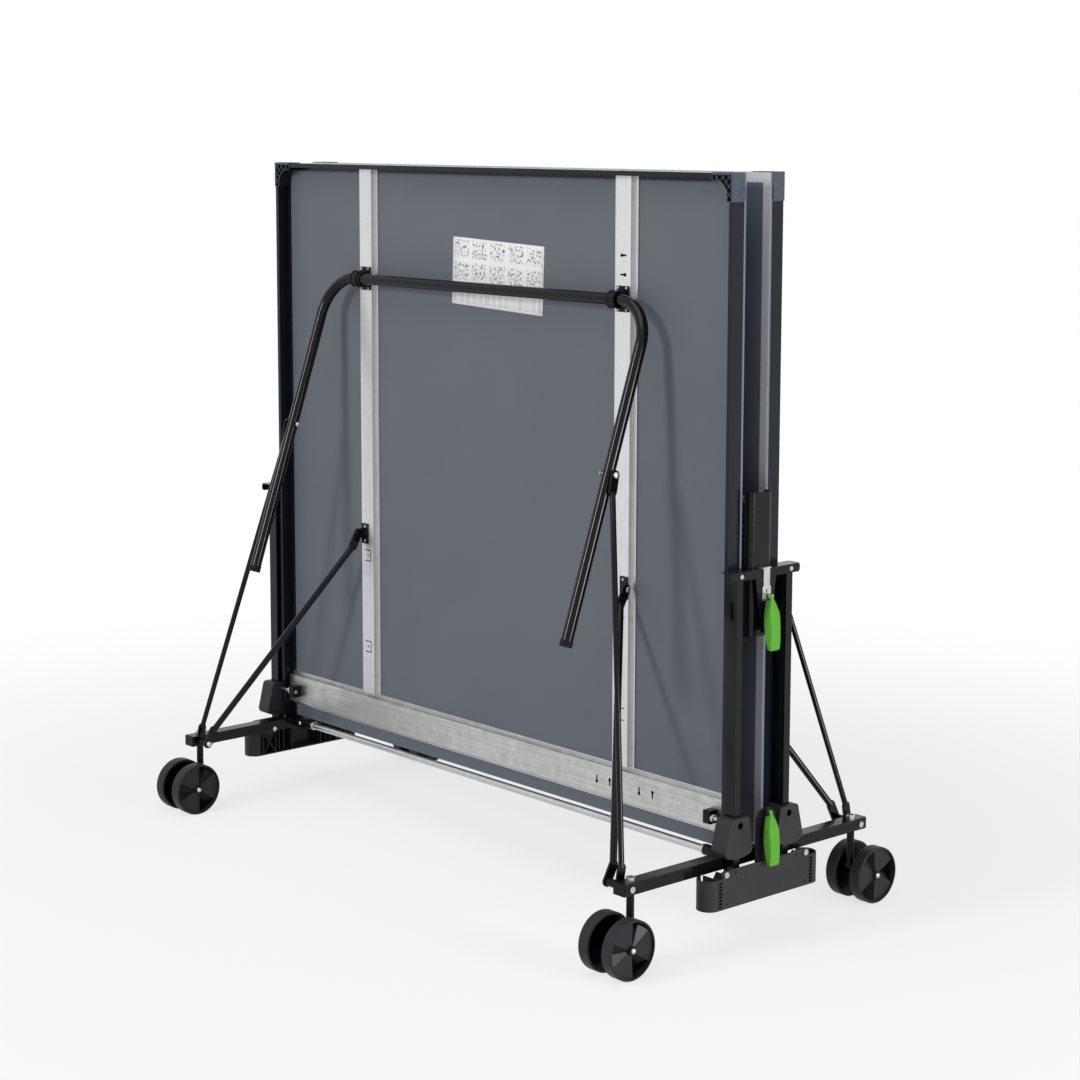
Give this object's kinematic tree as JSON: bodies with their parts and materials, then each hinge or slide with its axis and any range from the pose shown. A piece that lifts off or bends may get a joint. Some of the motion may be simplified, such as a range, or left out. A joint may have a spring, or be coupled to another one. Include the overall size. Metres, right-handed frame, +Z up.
{
  "type": "ping pong table",
  "caption": "Outdoor folding table tennis table, stored upright on its rolling base: hinged playing halves with fold-out legs and struts, guide posts, net and latch levers.",
  "frame": {"origin": "on the floor under the middle of the base, midway between the folded halves", "axes": "+X along the net towards the end with the latch levers seen in the picture, +Y from the front half to the rear half, +Z up"},
  "size_m": [1.67, 0.846, 1.5585],
  "materials": {
    "panel_sheet": "fine matt grain, blue on the playing side and grey underneath",
    "black_steel": "semi-gloss powder coat",
    "rail_aluminium": "bright mill finish",
    "zinc_steel": "bright zinc plating",
    "black_plastic": "fine moulded texture",
    "green_plastic": "satin gloss",
    "wheel_rubber": "matt moulded",
    "foot_rubber": "matt moulded",
    "net_fabric": "woven mesh with a pale tape"
  },
  "bodies": {
    "base": {"base_beam_left": "black_steel", "base_beam_right": "black_steel", "beam_end_caps": "black_plastic", "base_cover_left": "black_plastic", "base_cover_right": "black_plastic", "tie_rods": "zinc_steel", "rod_brackets": "black_plastic", "guide_posts": "black_steel", "bridge_left": "black_steel", "bridge_right": "black_steel", "net_posts": "black_steel", "net": "net_fabric", "latch_plates": "black_plastic", "hook_plates": "zinc_steel", "base_fasteners": "zinc_steel"},
    "front_carriage": {"front_carriage_hoods": "black_plastic", "front_hinge_pins": "zinc_steel"},
    "front_board": {"front_panel": "panel_sheet", "front_apron": "black_steel", "front_corner_caps": "black_plastic", "front_support_rails": "rail_aluminium", "front_cross_rail": "rail_aluminium", "front_hinge_blocks": "black_plastic", "front_leg_clamps": "black_plastic", "front_strut_brackets": "black_steel"},
    "front_leg": {"front_leg": "black_steel", "front_leg_feet": "foot_rubber"},
    "front_board_struts": {"front_board_struts": "black_steel"},
    "front_leg_struts": {"front_leg_struts": "black_steel"},
    "rear_carriage": {"rear_carriage_hoods": "black_plastic", "rear_hinge_pins": "zinc_steel"},
    "rear_board": {"rear_panel": "panel_sheet", "rear_apron": "black_steel", "rear_corner_caps": "black_plastic", "rear_support_rails": "rail_aluminium", "rear_cross_rail": "rail_aluminium", "rear_hinge_blocks": "black_plastic", "rear_leg_clamps": "black_plastic", "rear_strut_brackets": "black_steel"},
    "rear_leg": {"rear_leg": "black_steel", "rear_leg_feet": "foot_rubber"},
    "rear_board_struts": {"rear_board_struts": "black_steel"},
    "rear_leg_struts": {"rear_leg_struts": "black_steel"},
    "lower_lever_left": {"lower_lever_left": "green_plastic"},
    "upper_lever_left": {"upper_lever_left": "green_plastic"},
    "lower_lever_right": {"lower_lever_right": "green_plastic"},
    "upper_lever_right": {"upper_lever_right": "green_plastic"},
    "front_left_caster_fork": {"front_left_caster_fork": "black_plastic"},
    "front_left_outer_wheel": {"front_left_outer_wheel": "wheel_rubber"},
    "front_left_inner_wheel": {"front_left_inner_wheel": "wheel_rubber"},
    "front_right_caster_fork": {"front_right_caster_fork": "black_plastic"},
    "front_right_outer_wheel": {"front_right_outer_wheel": "wheel_rubber"},
    "front_right_inner_wheel": {"front_right_inner_wheel": "wheel_rubber"},
    "rear_left_caster_fork": {"rear_left_caster_fork": "black_plastic"},
    "rear_left_outer_wheel": {"rear_left_outer_wheel": "wheel_rubber"},
    "rear_left_inner_wheel": {"rear_left_inner_wheel": "wheel_rubber"},
    "rear_right_caster_fork": {"rear_right_caster_fork": "black_plastic"},
    "rear_right_outer_wheel": {"rear_right_outer_wheel": "wheel_rubber"},
    "rear_right_inner_wheel": {"rear_right_inner_wheel": "wheel_rubber"}
  },
  "joints": [
    {"name": "front_carriage_slide", "type": "slide", "parent": "base", "child": "front_carriage", "axis": [0, 0, 1], "range_m": [0, 0.4665]},
    {"name": "front_fold", "type": "hinge", "parent": "front_carriage", "child": "front_board", "pos_m": [0, -0.072, 0.256], "axis": [1, 0, 0], "range_deg": [0, 90]},
    {"name": "front_leg_turn", "type": "hinge", "parent": "front_board", "child": "front_leg", "pos_m": [0, -0.074, 1.293], "axis": [1, 0, 0], "range_deg": [-71.2, 0]},
    {"name": "front_board_strut_turn", "type": "hinge", "parent": "front_board", "child": "front_board_struts", "pos_m": [0, -0.062, 0.68698], "axis": [1, 0, 0], "range_deg": [-45.6, 0]},
    {"name": "front_leg_strut_turn", "type": "hinge", "parent": "base", "child": "front_leg_struts", "pos_m": [0, -0.338, 0.172], "axis": [1, 0, 0], "range_deg": [0, 87.2]},
    {"name": "rear_carriage_slide", "type": "slide", "parent": "base", "child": "rear_carriage", "axis": [0, 0, 1], "range_m": [0, 0.4665]},
    {"name": "rear_fold", "type": "hinge", "parent": "rear_carriage", "child": "rear_board", "pos_m": [0, 0.072, 0.256], "axis": [-1, 0, 0], "range_deg": [0, 90]},
    {"name": "rear_leg_turn", "type": "hinge", "parent": "rear_board", "child": "rear_leg", "pos_m": [0, 0.074, 1.293], "axis": [-1, 0, 0], "range_deg": [-71.2, 0]},
    {"name": "rear_board_strut_turn", "type": "hinge", "parent": "rear_board", "child": "rear_board_struts", "pos_m": [0, 0.062, 0.68698], "axis": [-1, 0, 0], "range_deg": [-45.6, 0]},
    {"name": "rear_leg_strut_turn", "type": "hinge", "parent": "base", "child": "rear_leg_struts", "pos_m": [0, 0.338, 0.172], "axis": [-1, 0, 0], "range_deg": [0, 87.2]},
    {"name": "lower_lever_left_lift", "type": "hinge", "parent": "base", "child": "lower_lever_left", "pos_m": [-0.816, 0, 0.273], "axis": [0, 1, 0], "range_deg": [0, 70]},
    {"name": "upper_lever_left_lift", "type": "hinge", "parent": "base", "child": "upper_lever_left", "pos_m": [-0.8085, 0, 0.716], "axis": [0, 1, 0], "range_deg": [0, 70]},
    {"name": "lower_lever_right_lift", "type": "hinge", "parent": "base", "child": "lower_lever_right", "pos_m": [0.816, 0, 0.273], "axis": [0, -1, 0], "range_deg": [0, 70]},
    {"name": "upper_lever_right_lift", "type": "hinge", "parent": "base", "child": "upper_lever_right", "pos_m": [0.8085, 0, 0.716], "axis": [0, -1, 0], "range_deg": [0, 70]},
    {"name": "front_left_caster_swivel", "type": "hinge", "parent": "base", "child": "front_left_caster_fork", "pos_m": [-0.752, -0.326, 0.15], "axis": [0, 0, 1], "continuous": true},
    {"name": "front_left_outer_wheel_spin", "type": "hinge", "parent": "front_left_caster_fork", "child": "front_left_outer_wheel", "pos_m": [-0.785, -0.362, 0.061], "axis": [1, 0, 0], "continuous": true},
    {"name": "front_left_inner_wheel_spin", "type": "hinge", "parent": "front_left_caster_fork", "child": "front_left_inner_wheel", "pos_m": [-0.719, -0.362, 0.061], "axis": [1, 0, 0], "continuous": true},
    {"name": "front_right_caster_swivel", "type": "hinge", "parent": "base", "child": "front_right_caster_fork", "pos_m": [0.752, -0.326, 0.15], "axis": [0, 0, 1], "continuous": true},
    {"name": "front_right_outer_wheel_spin", "type": "hinge", "parent": "front_right_caster_fork", "child": "front_right_outer_wheel", "pos_m": [0.785, -0.362, 0.061], "axis": [1, 0, 0], "continuous": true},
    {"name": "front_right_inner_wheel_spin", "type": "hinge", "parent": "front_right_caster_fork", "child": "front_right_inner_wheel", "pos_m": [0.719, -0.362, 0.061], "axis": [1, 0, 0], "continuous": true},
    {"name": "rear_left_caster_swivel", "type": "hinge", "parent": "base", "child": "rear_left_caster_fork", "pos_m": [-0.752, 0.326, 0.15], "axis": [0, 0, 1], "continuous": true},
    {"name": "rear_left_outer_wheel_spin", "type": "hinge", "parent": "rear_left_caster_fork", "child": "rear_left_outer_wheel", "pos_m": [-0.785, 0.362, 0.061], "axis": [1, 0, 0], "continuous": true},
    {"name": "rear_left_inner_wheel_spin", "type": "hinge", "parent": "rear_left_caster_fork", "child": "rear_left_inner_wheel", "pos_m": [-0.719, 0.362, 0.061], "axis": [1, 0, 0], "continuous": true},
    {"name": "rear_right_caster_swivel", "type": "hinge", "parent": "base", "child": "rear_right_caster_fork", "pos_m": [0.752, 0.326, 0.15], "axis": [0, 0, 1], "continuous": true},
    {"name": "rear_right_outer_wheel_spin", "type": "hinge", "parent": "rear_right_caster_fork", "child": "rear_right_outer_wheel", "pos_m": [0.785, 0.362, 0.061], "axis": [1, 0, 0], "continuous": true},
    {"name": "rear_right_inner_wheel_spin", "type": "hinge", "parent": "rear_right_caster_fork", "child": "rear_right_inner_wheel", "pos_m": [0.719, 0.362, 0.061], "axis": [1, 0, 0], "continuous": true}
  ],
  "couplings": [
    {"joint": "front_carriage_slide", "follows": "front_fold", "m_per_rad": 0.29698},
    {"joint": "front_leg_turn", "follows": "front_fold", "ratio": -0.79},
    {"joint": "front_board_strut_turn", "follows": "front_fold", "ratio": -0.50455},
    {"joint": "front_leg_strut_turn", "follows": "front_fold", "ratio": 0.96662},
    {"joint": "rear_carriage_slide", "follows": "rear_fold", "m_per_rad": 0.29698},
    {"joint": "rear_leg_turn", "follows": "rear_fold", "ratio": -0.79},
    {"joint": "rear_board_strut_turn", "follows": "rear_fold", "ratio": -0.50455},
    {"joint": "rear_leg_strut_turn", "follows": "rear_fold", "ratio": 0.96662}
  ]
}
